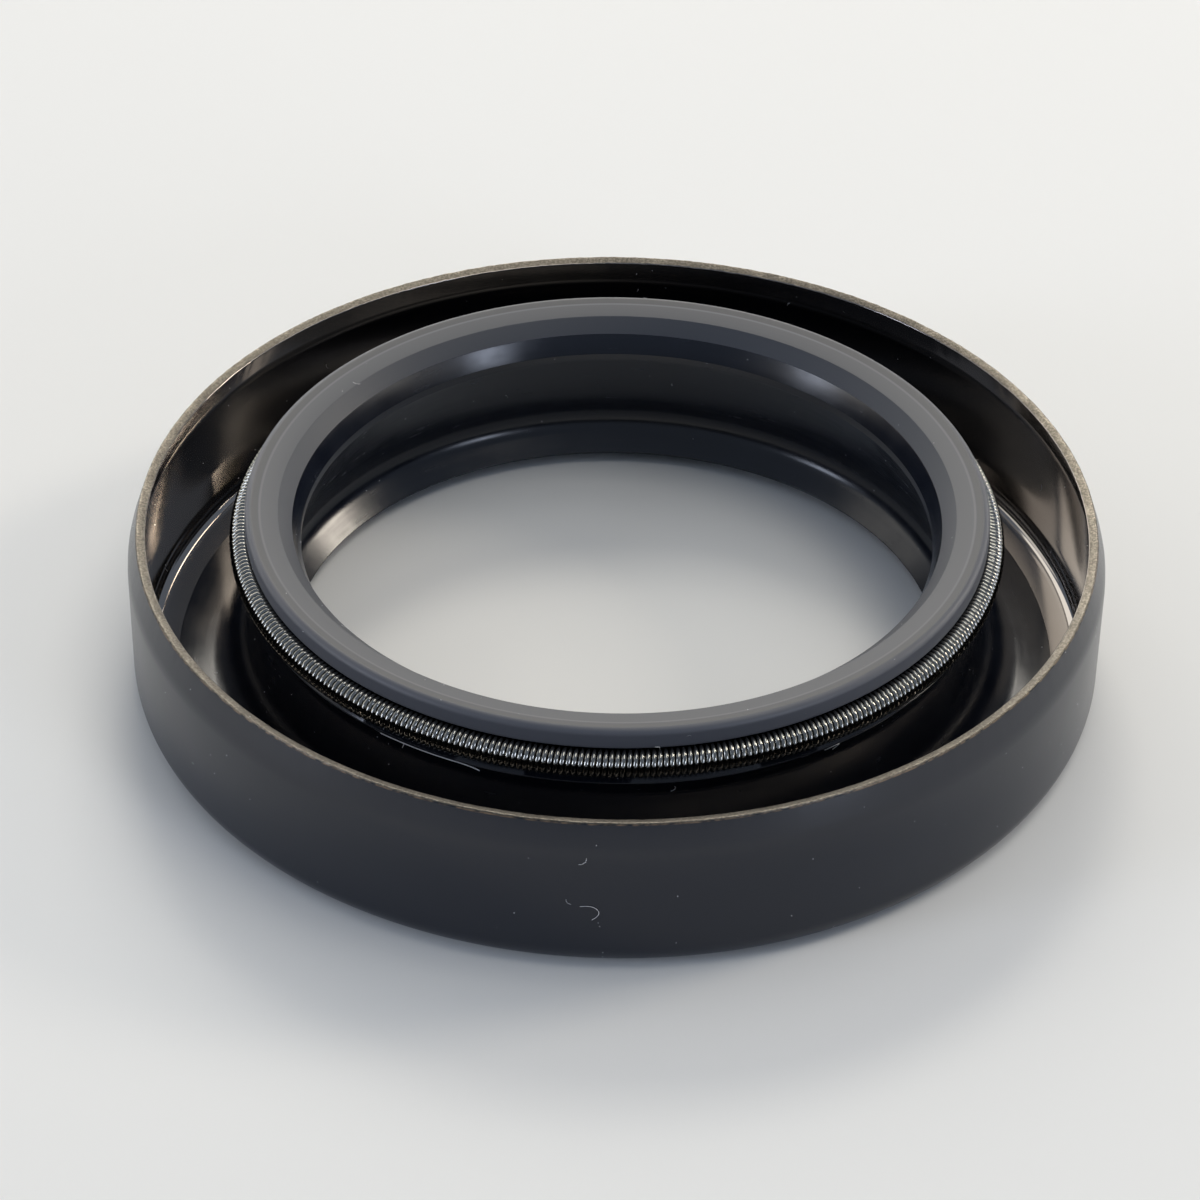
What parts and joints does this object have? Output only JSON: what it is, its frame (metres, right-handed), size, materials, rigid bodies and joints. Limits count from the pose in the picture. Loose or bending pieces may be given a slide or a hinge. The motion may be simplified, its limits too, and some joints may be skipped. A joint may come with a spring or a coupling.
{
  "type": "radial shaft seal",
  "caption": "Radial shaft seal: drawn steel case, bonded rubber lip with a dust lip, and a garter spring seated in the groove round the lip.",
  "frame": {"origin": "centre of the resting face, on the axis, at the air side of the flange", "axes": "+Z along the shaft's axis, from the air side to the spring side"},
  "size_m": [0.075, 0.075, 0.0146],
  "materials": {
    "painted_steel_case": "satin",
    "nitrile_rubber": "satin",
    "spring_wire": "satin"
  },
  "bodies": {
    "root": {"outer_case": "painted_steel_case", "sealing_element": "nitrile_rubber", "garter_spring": "spring_wire"}
  },
  "joints": []
}
